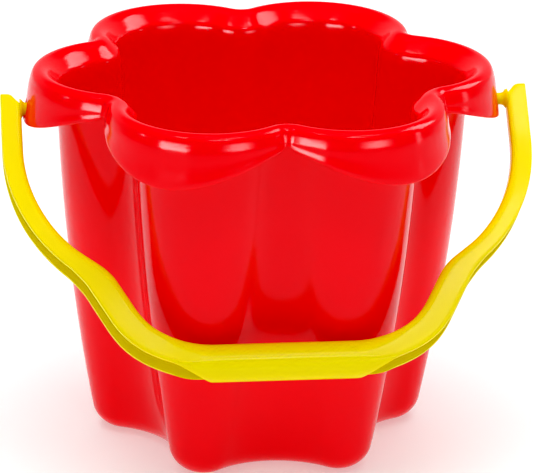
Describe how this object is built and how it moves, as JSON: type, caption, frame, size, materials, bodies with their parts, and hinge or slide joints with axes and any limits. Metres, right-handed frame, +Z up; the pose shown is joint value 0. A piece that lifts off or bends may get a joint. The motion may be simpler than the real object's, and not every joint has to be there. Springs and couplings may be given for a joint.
{
  "type": "sand bucket",
  "caption": "Scalloped plastic sand bucket with a petal-shaped mouth, a domed rim with a hanging skirt, and a swinging bail handle with a round grip.",
  "frame": {"origin": "centre of the flat underside of the base", "axes": "+Z up along the tub axis, +X along the hinge axis towards the viewer's right, +Y away from the side on which the handle hangs"},
  "size_m": [0.2098, 0.1746, 0.1529],
  "materials": {
    "red_plastic": "glossy moulded polypropylene with a very fine grain",
    "yellow_plastic": "semi-gloss moulded polypropylene"
  },
  "bodies": {
    "bucket": {"bucket": "red_plastic"},
    "handle": {"handle": "yellow_plastic"}
  },
  "joints": [
    {"name": "handle_swing", "type": "hinge", "parent": "bucket", "child": "handle", "pos_m": [0, 0, 0.1364], "axis": [-1, 0, 0], "range_deg": [0, 272]}
  ]
}
